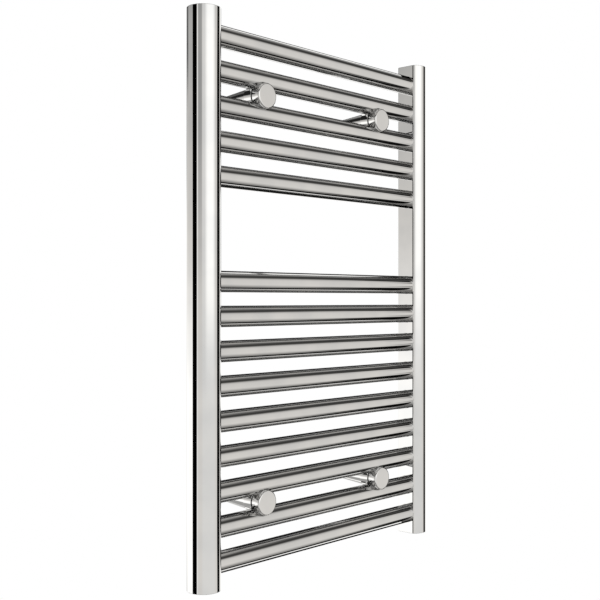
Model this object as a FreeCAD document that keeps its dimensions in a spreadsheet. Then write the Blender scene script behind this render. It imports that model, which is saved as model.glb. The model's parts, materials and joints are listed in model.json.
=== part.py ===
import FreeCAD, Part
import os

import Sketcher

# Ladder towel radiator, 600 x 400 mm: two D-section collectors joined by fourteen round rails,
# an air vent at the back of the right one, and four brackets that clamp between two rails.
#
# Frame: X to the right, Y to the wall, Z up. The origin lies in the wall's face, midway between
# the four wall fixings. The rails' axes lie in the plane Y = -wall_gap.

# Driving dimensions in millimetres, and the counts.
DIMENSIONS = [
    ("height", 600.0),
    ("width", 400.0),
    ("wall_gap", 85.0),            # wall to the rails' axes
    # collectors
    ("collector_depth", 31.0),     # flat face to crown
    ("collector_round", 35.5),     # diameter of the round side
    ("collector_wall", 1.2),
    ("corner_radius", 4.0),
    ("plate_thickness", 3.0),
    ("weld_fit", 0.05),            # gap filled by brazing in every welded joint
    # rails
    ("rail_dia", 23.0),
    ("rail_wall", 1.0),
    ("rail_pitch", 36.7),
    ("rail_tuck", 1.0),            # how far a rail's end stands inside the collector
    ("rail_steps", 15.0),          # pitches from the top rail to the bottom one
    ("upper_rails", 5.0),
    ("lower_rails", 9.0),
    # supply ports, G 1/2
    ("port_bore", 18.6),
    ("port_boss", 22.8),
    ("port_length", 12.0),
    # air vent, G 1/4
    ("vent_drop", 14.0),           # top of the collector to the vent's axis
    ("vent_bore", 11.5),
    ("vent_boss", 18.0),
    ("vent_root", 13.0),           # collector's axis to the socket's inner end
    ("vent_face", 21.0),           # collector's axis to the socket's outer face
    ("plug_thread", 11.46),
    ("plug_inner", 11.0),          # collector's axis to the plug's inner end
    ("plug_flats", 15.0),
    ("plug_head", 5.0),
    ("seal_width", 1.7),
    ("seal_thickness", 1.4),
    ("bleed_dia", 5.0),
    ("bleed_seat", 1.6),
    ("bleed_key", 3.4),
    ("bleed_recess", 9.6),
    ("bleed_cone", 1.0),
    ("bleed_thread", 4.3),
    ("bleed_square", 3.9),
    ("running_fit", 0.05),         # radial
    ("overrun", 1.0),              # how far a cutter stands out of what it cuts
    # brackets, along their own axis from the wall
    ("bracket_x", 101.5),
    ("bracket_step", 1.5),         # pitches below the top rail
    ("socket_dia", 19.5),
    ("socket_length", 23.0),
    ("socket_base", 4.0),
    ("socket_chamfer", 1.0),
    ("wall_hole", 5.5),
    ("stem_dia", 13.0),
    ("stem_start", 10.0),
    ("stem_chamfer", 0.5),
    ("cone_start", 29.0),
    ("cone_dia", 21.6),
    ("saddle_dia", 24.0),
    ("saddle_back", 12.5),         # rails' axes to the rear saddle's back
    ("saddle_nose", 0.6),          # rails' axes to either saddle's nose
    ("saddle_rim", 0.8),
    ("spigot_dia", 10.0),
    ("spigot_length", 4.0),
    ("bolt_dia", 5.9),
    ("bolt_bore", 6.0),
    ("bolt_clearance", 6.6),
    ("bolt_start", 58.0),
    ("bolt_chamfer", 0.6),
    ("bore_start", 56.0),
    ("drill_point", 1.2),          # depth of the cone that a drill leaves
    ("front_saddle_dia", 23.0),
    ("flange_dia", 27.4),
    ("flange_thickness", 3.0),
    ("disc_dia", 28.0),
    ("disc_back", 10.8),           # rails' axes to the disc's back
    ("disc_thickness", 3.0),
    ("disc_round", 1.8),           # radius of the disc's front edge
    ("boss_dia", 11.0),
    ("boss_length", 8.6),
    ("boss_bore_depth", 7.0),
    ("grub_dia", 3.9),
    ("grub_bore", 4.0),
    ("grub_tip", 7.6),             # bracket axis to the tip of the grub screw, backed off
    ("grub_length", 2.8),
    ("grub_setback", 6.0),         # from the wall socket's mouth
    ("grub_key", 2.0),
    ("grub_key_depth", 1.4),
]

HEX_CORNER = 0.57735               # corner radius of a hexagon one unit across its flats

doc = FreeCAD.newDocument("ladder_radiator")
sheet = doc.addObject("Spreadsheet::Sheet", "Dims")
for row, (alias, number) in enumerate(DIMENSIONS, start=1):
    sheet.set(f"A{row}", alias)
    sheet.set(f"B{row}", str(number))
    sheet.setAlias(f"B{row}", alias)
doc.recompute()

X_AXIS = FreeCAD.Vector(1, 0, 0)
Z_AXIS = FreeCAD.Vector(0, 0, 1)
UPRIGHT = FreeCAD.Rotation()
TURNED_ROUND = FreeCAD.Rotation(Z_AXIS, 180)
TO_FRONT = FreeCAD.Rotation(X_AXIS, 90)      # local Z points away from the wall, local Y up
TO_WALL = FreeCAD.Rotation(X_AXIS, -90)      # local Z points at the wall, local Y down
DOWNWARD = FreeCAD.Rotation(X_AXIS, 180)     # local Z points down

finished = []


def dim(alias):
    """A driving dimension as a number."""
    return float(sheet.get(alias))


def place(item, label, rotation, x, y, z):
    """Name a finished sub-part and put it in the radiator's frame."""
    item.Label = label
    item.Placement = FreeCAD.Placement(FreeCAD.Vector(), rotation)
    for axis, expression in (("x", x), ("y", y), ("z", z)):
        item.setExpression(f"Placement.Base.{axis}", expression)
    finished.append(item)


def origin_feature(body, role):
    """One of a body's own origin planes or axes."""
    return next(f for f in body.Origin.OriginFeatures if f.Role == role)


def new_sketch(body, name, plane):
    sketch = body.newObject("Sketcher::SketchObject", name)
    sketch.AttachmentSupport = [(origin_feature(body, plane), "")]
    sketch.MapMode = "FlatFace"
    return sketch


def drive(sketch, constraint, expression):
    """Add a constraint whose value comes from the sheet."""
    index = sketch.addConstraint(constraint)
    sketch.renameConstraint(index, f"driven_{index}")
    sketch.setExpression(f"Constraints.driven_{index}", expression)


def pin_point(sketch, geometry, point, across, up):
    """Fix one point of a sketch at an offset from the sketch's origin."""
    for kind, expression, axis in (("DistanceX", across, -2), ("DistanceY", up, -1)):
        if expression == "0":
            sketch.addConstraint(Sketcher.Constraint("PointOnObject", geometry, point, axis))
        else:
            drive(sketch, Sketcher.Constraint(kind, -1, 1, geometry, point, 1.0), expression)


def turned(name, profile):
    """A body turned about its local Z axis from (radius, height) corners."""
    body = doc.addObject("PartDesign::Body", name)
    sketch = new_sketch(body, f"{name}_profile", "XZ_Plane")
    corners = len(profile)
    for i in range(corners):
        first = FreeCAD.Vector(1 + i, 1 + i * i, 0)
        last = FreeCAD.Vector(1 + (i + 1) % corners, 1 + ((i + 1) % corners) ** 2, 0)
        sketch.addGeometry(Part.LineSegment(first, last), False)
    for i in range(corners):
        sketch.addConstraint(Sketcher.Constraint("Coincident", i, 2, (i + 1) % corners, 1))
    for i, (radius, height) in enumerate(profile):
        pin_point(sketch, i, 1, radius, height)
    spin = body.newObject("PartDesign::Revolution", f"{name}_turn")
    spin.Profile = sketch
    spin.ReferenceAxis = (sketch, ["V_Axis"])
    spin.Angle = 360.0
    doc.recompute()
    return body


def circles_sketch(body, name, plane, circles):
    """A sketch of circles given as (across, up, radius)."""
    sketch = new_sketch(body, name, plane)
    for i, (across, up, radius) in enumerate(circles):
        start = FreeCAD.Vector(1 + i, 1 - 3 * i, 0)
        sketch.addGeometry(Part.Circle(start, Z_AXIS, 1.0 + i), False)
        pin_point(sketch, i, 3, across, up)
        drive(sketch, Sketcher.Constraint("Radius", i, 1.0 + i), radius)
    return sketch


def pad(body, sketch, length, side="One side"):
    feature = body.newObject("PartDesign::Pad", f"{sketch.Name}_pad")
    feature.Profile = sketch
    feature.SideType = side
    feature.setExpression("Length", length)
    doc.recompute()
    return feature


def cut(body, sketch, toward_normal=False, both_ways=False):
    """Pocket through everything on one side of a sketch, or on both, and check that it cut."""
    before = body.Shape.Volume
    feature = body.newObject("PartDesign::Pocket", f"{sketch.Name}_cut")
    feature.Profile = sketch
    feature.Type = "ThroughAll"
    feature.SideType = "Symmetric" if both_ways else "One side"
    feature.Reversed = toward_normal
    doc.recompute()
    if body.Shape.Volume > before - 0.5:
        raise RuntimeError(f"{feature.Name} removed nothing")
    return feature


def repeat_upward(body, feature, pitches, count):
    """Repeat a feature along the body's Z axis, one rail pitch apart."""
    pattern = body.newObject("PartDesign::LinearPattern", f"{feature.Name}_row")
    pattern.Originals = [feature]
    pattern.Direction = (origin_feature(body, "Z_Axis"), [""])
    pattern.setExpression("Length", f"({pitches}) * Dims.rail_pitch")
    pattern.setExpression("Occurrences", count)
    body.Tip = pattern
    doc.recompute()


def d_outline(sketch, inset, inset_expression):
    """The collector's D outline, moved in by an inset, about the centre of its round side."""
    radius = dim("collector_round") / 2 - inset
    flat = dim("collector_depth") - dim("collector_round") / 2 - inset
    half_chord = (radius ** 2 - flat ** 2) ** 0.5
    low = FreeCAD.Vector(flat, -half_chord, 0)
    high = FreeCAD.Vector(flat, half_chord, 0)
    crown = FreeCAD.Vector(-radius, 0, 0)
    arc = sketch.addGeometry(Part.Arc(high, crown, low), False)
    chord = sketch.addGeometry(Part.LineSegment(low, high), False)
    sketch.addConstraint(Sketcher.Constraint("Coincident", arc, 3, -1, 1))
    sketch.addConstraint(Sketcher.Constraint("Coincident", arc, 1, chord, 2))
    sketch.addConstraint(Sketcher.Constraint("Coincident", arc, 2, chord, 1))
    sketch.addConstraint(Sketcher.Constraint("Vertical", chord))
    drive(sketch, Sketcher.Constraint("Radius", arc, radius),
          f"Dims.collector_round / 2 - ({inset_expression})")
    drive(sketch, Sketcher.Constraint("DistanceX", -1, 1, chord, 1, flat),
          f"Dims.collector_depth - Dims.collector_round / 2 - ({inset_expression})")


# Places shared by several sub-parts.
COLLECTOR_X = "(Dims.width / 2 - Dims.collector_round / 2)"
RAIL_PLANE = "-Dims.wall_gap"
TOP_RAIL = "(Dims.rail_steps * Dims.rail_pitch / 2)"
END_MARGIN = "(Dims.height / 2 - Dims.rail_steps * Dims.rail_pitch / 2)"
BRACKET_Z = "((Dims.rail_steps / 2 - Dims.bracket_step) * Dims.rail_pitch)"
SIDES = (("left", "-1", UPRIGHT), ("right", "1", TURNED_ROUND))
CORNERS = [(f"{level}_{side}", f"{sign_x} * Dims.bracket_x", f"{sign_z} * {BRACKET_Z}")
           for level, sign_z in (("upper", "1"), ("lower", "-1"))
           for side, sign_x in (("left", "-1"), ("right", "1"))]


def collector(side, sign, rotation):
    """Hollow D tube; its flat face carries the rails and its back the rear socket."""
    body = doc.addObject("PartDesign::Body", f"Collector_{side}")
    outline = new_sketch(body, f"d_{side}", "XY_Plane")
    d_outline(outline, 0.0, "0")
    d_outline(outline, dim("collector_wall"), "Dims.collector_wall")
    tube = pad(body, outline, "Dims.height")

    corner_x = dim("collector_depth") - dim("collector_round") / 2
    corners = [f"Edge{i}" for i, edge in enumerate(tube.Shape.Edges, start=1)
               if edge.BoundBox.ZLength > dim("height") / 2 and abs(edge.BoundBox.XMin - corner_x) < 0.01]
    fillet = body.newObject("PartDesign::Fillet", f"corners_{side}")
    fillet.Base = (tube, corners)
    fillet.setExpression("Radius", "Dims.corner_radius")
    doc.recompute()

    hole = "Dims.rail_dia / 2 + Dims.weld_fit"
    rows = ((END_MARGIN, "Dims.lower_rails"),
            (f"Dims.height - {END_MARGIN} - (Dims.upper_rails - 1) * Dims.rail_pitch", "Dims.upper_rails"))
    for number, (first_hole, count) in enumerate(rows):
        holes = circles_sketch(body, f"holes_{side}_{number}", "YZ_Plane", [("0", first_hole, hole)])
        repeat_upward(body, cut(body, holes, toward_normal=True), f"{count} - 1", count)

    if side == "right":
        vent = circles_sketch(body, "vent_hole", "XZ_Plane",
                              [("0", "Dims.height - Dims.vent_drop", "Dims.vent_bore / 2")])
        body.Tip = cut(body, vent, toward_normal=True)
    place(body, f"collector_{side}", rotation, f"{sign} * {COLLECTOR_X}", RAIL_PLANE, "-Dims.height / 2")


def end_plate(side, sign, rotation):
    """Plate welded into the collector's top end, flush with it."""
    body = doc.addObject("PartDesign::Body", f"EndPlate_{side}")
    outline = new_sketch(body, f"plate_{side}", "XY_Plane")
    d_outline(outline, dim("collector_wall") + dim("weld_fit"), "Dims.collector_wall + Dims.weld_fit")
    pad(body, outline, "Dims.plate_thickness")
    place(body, f"end_plate_{side}", rotation, f"{sign} * {COLLECTOR_X}", RAIL_PLANE,
          "Dims.height / 2 - Dims.plate_thickness")


def port_plate(side, sign, rotation):
    """Plate welded into the collector's bottom end, with the threaded supply port."""
    body = doc.addObject("PartDesign::Body", f"PortPlate_{side}")
    outline = new_sketch(body, f"port_outline_{side}", "XY_Plane")
    d_outline(outline, dim("collector_wall") + dim("weld_fit"), "Dims.collector_wall + Dims.weld_fit")
    pad(body, outline, "Dims.plate_thickness")
    boss = circles_sketch(body, f"port_boss_{side}", "XY_Plane", [("0", "0", "Dims.port_boss / 2")])
    pad(body, boss, "Dims.port_length")
    bore = circles_sketch(body, f"port_bore_{side}", "XY_Plane", [("0", "0", "Dims.port_bore / 2")])
    body.Tip = cut(body, bore, both_ways=True)
    place(body, f"port_plate_{side}", rotation, f"{sign} * {COLLECTOR_X}", RAIL_PLANE, "-Dims.height / 2")


def rail(number, steps_down):
    """Round tube between the collectors, its ends tucked through their flat faces."""
    body = doc.addObject("PartDesign::Body", f"Rail_{number:02d}")
    section = circles_sketch(body, f"rail_section_{number:02d}", "YZ_Plane",
                             [("0", "0", "Dims.rail_dia / 2"),
                              ("0", "0", "Dims.rail_dia / 2 - Dims.rail_wall")])
    pad(body, section, "Dims.width - 2 * (Dims.collector_depth - Dims.collector_wall - Dims.rail_tuck)",
        side="Symmetric")
    place(body, f"rail_{number:02d}", UPRIGHT, "0", RAIL_PLANE,
          f"{TOP_RAIL} - {steps_down} * Dims.rail_pitch")


def vent_place(item, label):
    """Put a piece built outward from the right collector's axis at the air vent."""
    place(item, label, TO_WALL, COLLECTOR_X, RAIL_PLANE, "Dims.height / 2 - Dims.vent_drop")


def primitive(kind, name, **sizes):
    """A Part primitive whose sizes are bound to the sheet; __ in a key stands for a dot."""
    item = doc.addObject(f"Part::{kind}", name)
    for path, expression in sizes.items():
        item.setExpression(path.replace("__", "."), expression)
    return item


def vent_socket():
    """Threaded ring welded on the collector's round back."""
    body = turned("VentSocket", [
        ("Dims.vent_bore / 2", "Dims.vent_root"),
        ("Dims.vent_boss / 2", "Dims.vent_root"),
        ("Dims.vent_boss / 2", "Dims.vent_face"),
        ("Dims.vent_bore / 2", "Dims.vent_face"),
    ])
    back = circles_sketch(body, "back_of_collector", "XZ_Plane",
                          [("0", "0", "Dims.collector_round / 2 + Dims.weld_fit")])
    body.Tip = cut(body, back, both_ways=True)
    vent_place(body, "vent_socket")


def vent_plug():
    """Hexagon-headed plug in the socket, bored for the bleed screw and its seat."""
    head_start = "Dims.vent_face + Dims.seal_thickness"
    shank = primitive("Cylinder", "plug_shank", Radius="Dims.plug_thread / 2",
                      Height=f"{head_start} - Dims.plug_inner", Placement__Base__z="Dims.plug_inner")
    head = primitive("Prism", "plug_head", Circumradius=f"Dims.plug_flats * {HEX_CORNER}",
                     Height="Dims.plug_head", Placement__Base__z=head_start)
    head.Polygon = 6
    blank = doc.addObject("Part::Fuse", "plug_blank")
    blank.Base = shank
    blank.Tool = head
    seat = primitive("Cylinder", "plug_seat", Radius="Dims.bleed_seat / 2",
                     Height="Dims.plug_head + Dims.vent_face",
                     Placement__Base__z="Dims.plug_inner - Dims.overrun")
    recess = primitive("Cylinder", "plug_recess", Radius="Dims.bleed_dia / 2 + Dims.running_fit",
                       Height="Dims.bleed_recess + Dims.overrun",
                       Placement__Base__z=f"{head_start} + Dims.plug_head - Dims.bleed_recess")
    bores = doc.addObject("Part::Fuse", "plug_bores")
    bores.Base = seat
    bores.Tool = recess
    bored = doc.addObject("Part::Cut", "plug_bored")
    bored.Base = blank
    bored.Tool = bores
    vent_place(bored, "vent_plug")


def vent_seal():
    """Flat ring between the plug's head and the socket."""
    inner = "Dims.plug_thread / 2 + Dims.weld_fit"
    outer = "Dims.plug_thread / 2 + Dims.seal_width"
    head_start = "Dims.vent_face + Dims.seal_thickness"
    ring = turned("VentSeal", [
        (inner, "Dims.vent_face"),
        (outer, "Dims.vent_face"),
        (outer, head_start),
        (inner, head_start),
    ])
    vent_place(ring, "vent_seal")


def bleed_screw():
    """Screw that closes the vent's seat with its cone; a square key turns it."""
    foot = "Dims.vent_face + Dims.seal_thickness + Dims.plug_head - Dims.bleed_recess"
    thread_start = f"{foot} + Dims.bleed_cone"
    square_start = f"{thread_start} + Dims.bleed_thread"
    cone = primitive("Cone", "bleed_cone_end", Radius1="Dims.bleed_seat / 2",
                     Radius2="Dims.bleed_dia / 2", Height="Dims.bleed_cone", Placement__Base__z=foot)
    thread = primitive("Cylinder", "bleed_shank", Radius="Dims.bleed_dia / 2",
                       Height="Dims.bleed_thread", Placement__Base__z=thread_start)
    square = primitive("Box", "bleed_square_end", Length="Dims.bleed_key", Width="Dims.bleed_key",
                       Height="Dims.bleed_square", Placement__Base__x="-Dims.bleed_key / 2",
                       Placement__Base__y="-Dims.bleed_key / 2", Placement__Base__z=square_start)
    screw = doc.addObject("Part::MultiFuse", "bleed_body")
    screw.Shapes = [cone, thread, square]
    vent_place(screw, "bleed_screw")


def bracket_place(item, label, x, z):
    """Put a piece turned about its bracket's axis, local Z from the wall, at its corner."""
    place(item, label, TO_FRONT, x, "0", z)


def groove_for_rails(body, name):
    """Cut the seats of the two rails that a saddle lies between."""
    seat = "Dims.rail_dia / 2 + Dims.running_fit"
    upper_axis = "Dims.rail_pitch / 2"
    seats = circles_sketch(body, name, "YZ_Plane", [(upper_axis, "Dims.wall_gap", seat),
                                                    (f"-({upper_axis})", "Dims.wall_gap", seat)])
    body.Tip = cut(body, seats, both_ways=True)


def wall_socket(corner, x, z):
    """Cup screwed to the wall; the stem slides in its bore."""
    bore = "Dims.stem_dia / 2 + Dims.running_fit"
    body = turned(f"WallSocket_{corner}", [
        ("Dims.wall_hole / 2", "0"),
        ("Dims.socket_dia / 2", "0"),
        ("Dims.socket_dia / 2", "Dims.socket_length - Dims.socket_chamfer"),
        ("Dims.socket_dia / 2 - Dims.socket_chamfer", "Dims.socket_length"),
        (bore, "Dims.socket_length"),
        (bore, "Dims.socket_base"),
        ("Dims.wall_hole / 2", "Dims.socket_base"),
    ])
    hole = circles_sketch(body, f"grub_hole_{corner}", "XZ_Plane",
                          [("0", "Dims.socket_length - Dims.grub_setback", "Dims.grub_bore / 2")])
    body.Tip = cut(body, hole, toward_normal=True)
    bracket_place(body, f"wall_socket_{corner}", x, z)


def grub_screw(corner, x, z):
    """Screw through the cup's underside, with a hexagon socket in its outer end."""
    plain = primitive("Cylinder", f"grub_{corner}", Radius="Dims.grub_dia / 2", Height="Dims.grub_length",
                      Placement__Base__z="Dims.grub_tip")
    key = primitive("Prism", f"grub_key_{corner}", Circumradius=f"Dims.grub_key * {HEX_CORNER}",
                    Height="Dims.grub_key_depth + Dims.overrun",
                    Placement__Base__z="Dims.grub_tip + Dims.grub_length - Dims.grub_key_depth")
    key.Polygon = 6
    screw = doc.addObject("Part::Cut", f"grub_body_{corner}")
    screw.Base = plain
    screw.Tool = key
    place(screw, f"grub_screw_{corner}", DOWNWARD, x, "Dims.grub_setback - Dims.socket_length", z)


def stem(corner, x, z):
    """Shank from the wall socket to the rear saddle, tapered, and bored for the clamp bolt."""
    shoulder = "Dims.wall_gap - Dims.saddle_back"
    body = turned(f"Stem_{corner}", [
        ("0", "Dims.stem_start"),
        ("Dims.stem_dia / 2 - Dims.stem_chamfer", "Dims.stem_start"),
        ("Dims.stem_dia / 2", "Dims.stem_start + Dims.stem_chamfer"),
        ("Dims.stem_dia / 2", "Dims.cone_start"),
        ("Dims.cone_dia / 2", shoulder),
        ("Dims.spigot_dia / 2", shoulder),
        ("Dims.spigot_dia / 2", f"{shoulder} + Dims.spigot_length"),
        ("Dims.bolt_bore / 2", f"{shoulder} + Dims.spigot_length"),
        ("Dims.bolt_bore / 2", "Dims.bore_start"),
        ("0", "Dims.bore_start - Dims.drill_point"),
    ])
    bracket_place(body, f"stem_{corner}", x, z)


def rear_saddle(corner, x, z):
    """Round block behind the rails, grooved to bear on both of them."""
    back = "Dims.wall_gap - Dims.saddle_back"
    nose = "Dims.wall_gap - Dims.saddle_nose"
    counterbore = "Dims.spigot_dia / 2 + Dims.weld_fit"
    body = turned(f"RearSaddle_{corner}", [
        (counterbore, back),
        ("Dims.saddle_dia / 2 - Dims.saddle_rim", back),
        ("Dims.saddle_dia / 2", f"{back} + Dims.saddle_rim"),
        ("Dims.saddle_dia / 2", nose),
        ("Dims.bolt_clearance / 2", nose),
        ("Dims.bolt_clearance / 2", f"{back} + Dims.spigot_length"),
        (counterbore, f"{back} + Dims.spigot_length"),
    ])
    groove_for_rails(body, f"rear_seats_{corner}")
    bracket_place(body, f"rear_saddle_{corner}", x, z)


def front_saddle(corner, x, z):
    """Round block in front of the rails, grooved like the rear one, with a flange for the disc."""
    bore = "Dims.boss_dia / 2 + Dims.running_fit"
    nose = "Dims.wall_gap + Dims.saddle_nose"
    face = "Dims.wall_gap + Dims.disc_back"
    body = turned(f"FrontSaddle_{corner}", [
        (bore, nose),
        ("Dims.front_saddle_dia / 2", nose),
        ("Dims.front_saddle_dia / 2", f"{face} - Dims.flange_thickness"),
        ("Dims.flange_dia / 2", f"{face} - Dims.flange_thickness"),
        ("Dims.flange_dia / 2", face),
        (bore, face),
    ])
    groove_for_rails(body, f"front_seats_{corner}")
    bracket_place(body, f"front_saddle_{corner}", x, z)


def disc(corner, x, z):
    """Flat disc with a rounded front edge and a boss that takes the clamp bolt."""
    back = "Dims.wall_gap + Dims.disc_back"
    front = f"{back} + Dims.disc_thickness"
    boss_end = f"{back} - Dims.boss_length"
    bore_end = f"{boss_end} + Dims.boss_bore_depth"
    body = turned(f"Disc_{corner}", [
        ("0", front),
        ("Dims.disc_dia / 2", front),
        ("Dims.disc_dia / 2", back),
        ("Dims.boss_dia / 2", back),
        ("Dims.boss_dia / 2", boss_end),
        ("Dims.bolt_bore / 2", boss_end),
        ("Dims.bolt_bore / 2", bore_end),
        ("0", f"{bore_end} + Dims.drill_point"),
    ])
    face = dim("wall_gap") + dim("disc_back") + dim("disc_thickness")
    plain = body.Tip
    rim = [f"Edge{i}" for i, edge in enumerate(plain.Shape.Edges, start=1)
           if abs(edge.BoundBox.ZMin - face) < 0.01 and edge.BoundBox.XLength > dim("disc_dia") - 0.01]
    fillet = body.newObject("PartDesign::Fillet", f"disc_edge_{corner}")
    fillet.Base = (plain, rim)
    fillet.setExpression("Radius", "Dims.disc_round")
    doc.recompute()
    bracket_place(body, f"disc_{corner}", x, z)


def clamp_bolt(corner, x, z):
    """Threaded stud fixed in the disc; it draws the two saddles together."""
    front = "Dims.wall_gap + Dims.disc_back - Dims.boss_length + Dims.boss_bore_depth"
    body = turned(f"ClampBolt_{corner}", [
        ("0", "Dims.bolt_start"),
        ("Dims.bolt_dia / 2 - Dims.bolt_chamfer", "Dims.bolt_start"),
        ("Dims.bolt_dia / 2", "Dims.bolt_start + Dims.bolt_chamfer"),
        ("Dims.bolt_dia / 2", front),
        ("0", front),
    ])
    bracket_place(body, f"clamp_bolt_{corner}", x, z)


for side_part in SIDES:
    collector(*side_part)
    end_plate(*side_part)
    port_plate(*side_part)

upper_steps = list(range(int(dim("upper_rails"))))
lower_steps = [int(dim("rail_steps")) - i for i in reversed(range(int(dim("lower_rails"))))]
for rail_number, steps in enumerate(upper_steps + lower_steps, start=1):
    rail(rail_number, steps)

vent_socket()
vent_plug()
vent_seal()
bleed_screw()

for corner_place in CORNERS:
    wall_socket(*corner_place)
    grub_screw(*corner_place)
    stem(*corner_place)
    rear_saddle(*corner_place)
    front_saddle(*corner_place)
    disc(*corner_place)
    clamp_bolt(*corner_place)

doc.recompute()

for item in doc.Objects:
    if "Invalid" in item.State or "Error" in item.State:
        raise RuntimeError(f"{item.Name} failed: {item.State}")
for item in finished:
    if item.Shape.isNull() or not item.Shape.isValid() or len(item.Shape.Solids) != 1:
        raise RuntimeError(f"{item.Label} is not one valid solid")

os.makedirs("parts", exist_ok=True)
for item in finished:
    item.Shape.exportStep(os.path.join("parts", f"{item.Label}.step"))
print(f"wrote {len(finished)} sub-parts")
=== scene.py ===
import json
import math

import bmesh
import bpy
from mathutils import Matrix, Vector

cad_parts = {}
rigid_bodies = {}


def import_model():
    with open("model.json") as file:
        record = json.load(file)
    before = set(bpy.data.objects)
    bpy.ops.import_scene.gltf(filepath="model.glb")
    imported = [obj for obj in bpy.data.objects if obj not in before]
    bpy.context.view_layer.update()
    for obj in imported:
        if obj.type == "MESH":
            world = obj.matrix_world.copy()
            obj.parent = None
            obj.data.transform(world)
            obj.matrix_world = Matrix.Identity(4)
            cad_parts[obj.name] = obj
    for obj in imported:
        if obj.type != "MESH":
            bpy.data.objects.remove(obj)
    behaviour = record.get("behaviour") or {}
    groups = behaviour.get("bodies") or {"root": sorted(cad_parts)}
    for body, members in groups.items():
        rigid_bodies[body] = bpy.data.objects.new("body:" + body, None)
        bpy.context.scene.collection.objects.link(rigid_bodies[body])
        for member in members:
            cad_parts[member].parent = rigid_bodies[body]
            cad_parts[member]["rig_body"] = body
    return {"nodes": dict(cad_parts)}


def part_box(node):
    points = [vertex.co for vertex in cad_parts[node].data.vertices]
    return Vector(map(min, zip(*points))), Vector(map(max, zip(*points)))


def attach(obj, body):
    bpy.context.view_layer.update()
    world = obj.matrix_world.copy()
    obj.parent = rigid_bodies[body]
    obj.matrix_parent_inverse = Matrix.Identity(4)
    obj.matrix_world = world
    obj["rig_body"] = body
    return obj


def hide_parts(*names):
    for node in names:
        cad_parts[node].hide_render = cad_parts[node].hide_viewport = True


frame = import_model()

# Looks of the ladder towel radiator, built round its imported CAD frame: metres, +X right,
# +Y into the wall, +Z up. Each CAD node is stood for by a finely meshed piece of the same size.

MM = 0.001
SEGMENTS = 96                      # round a turned piece; a multiple of 4 and of 6
CREASE = math.radians(32)          # edges sharper than this stay sharp
CORNER = 0.35 * MM                 # rounding of machined corners
CORNER_STEPS = 4
WELD_GAP = 0.0002 * MM             # points closer than this are one

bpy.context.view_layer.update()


# ------------------------------------------------------------------ shapes

def softened(profile, radius=CORNER, closed=True):
    """The profile with its corners rounded; an open profile keeps its two ends."""
    points = [Vector(p) for p in profile]
    count = len(points)
    rounded = []
    for i, corner in enumerate(points):
        if not closed and i in (0, count - 1):
            rounded.append(corner)
            continue
        before = points[i - 1] - corner
        after = points[(i + 1) % count] - corner
        reach = min(radius, 0.45 * before.length, 0.45 * after.length)
        start = corner + before.normalized() * reach
        end = corner + after.normalized() * reach
        for step in range(CORNER_STEPS + 1):
            s = step / CORNER_STEPS
            rounded.append(start * (1 - s) ** 2 + corner * (2 * s * (1 - s)) + end * s ** 2)
    return rounded


AXES = {
    "X": (Vector((1, 0, 0)), Vector((0, 1, 0)), Vector((0, 0, 1))),
    "Y": (Vector((0, 1, 0)), Vector((0, 0, 1)), Vector((1, 0, 0))),
    "Z": (Vector((0, 0, 1)), Vector((1, 0, 0)), Vector((0, 1, 0))),
}


def ring(axis, centre, radius, along, segments=SEGMENTS):
    """Points round an axis; radius is a number or a function of the angle."""
    direction, across, up = AXES[axis]
    points = []
    for i in range(segments):
        angle = 2 * math.pi * i / segments
        size = radius(angle) if callable(radius) else radius
        offset = across * (size * math.cos(angle)) + up * (size * math.sin(angle))
        points.append(Vector(centre) + direction * along + offset)
    return points


def loft(name, loops, closed=True):
    """Mesh through loops of equally many points; closed joins the last loop to the first."""
    bm = bmesh.new()
    rows = [[bm.verts.new(point) for point in loop] for loop in loops]
    following = rows[1:] + rows[:1] if closed else rows[1:]
    for low, high in zip(rows, following):
        for i in range(len(low)):
            j = (i + 1) % len(low)
            bm.faces.new((low[i], low[j], high[j], high[i]))
    bmesh.ops.remove_doubles(bm, verts=bm.verts, dist=WELD_GAP)
    bmesh.ops.recalc_face_normals(bm, faces=bm.faces)
    mesh = bpy.data.meshes.new(name)
    bm.to_mesh(mesh)
    bm.free()
    mesh.shade_smooth()
    mesh.set_sharp_from_angle(angle=CREASE)
    return mesh


def turned(name, profile, axis="Y", centre=(0, 0, 0), closed=True, segments=SEGMENTS):
    """Mesh turned from (radius, along) points round an axis."""
    return loft(name, [ring(axis, centre, p[0], p[1], segments) for p in profile], closed)


def flats(width, sides):
    """Radius of a regular polygon that wide across its flats, as a function of the angle."""
    sector = 2 * math.pi / sides
    return lambda angle: width / 2 / math.cos(angle % sector - sector / 2)


FLANK_SLOPE = 1.6                  # of a thread, in depths per half pitch
CREST_CUT = 0.3                    # depths cut off its tip, which leaves the crest flat


def thread(crest, depth, pitch, start, end, rows_per_turn):
    """(radius function, along) rows of a thread that runs out at both its ends."""
    rows = []
    count = math.ceil((end - start) / pitch * rows_per_turn)
    for i in range(count + 1):
        along = start + (end - start) * i / count
        fade = min(1, (along - start) / pitch, (end - along) / pitch)

        def radius(angle, along=along, fade=fade):
            turn = (along / pitch - angle / (2 * math.pi)) % 1
            flank = min(1, max(0, FLANK_SLOPE * abs(2 * turn - 1) - CREST_CUT))
            return crest - depth * flank * fade
        rows.append((radius, along))
    return rows


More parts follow.
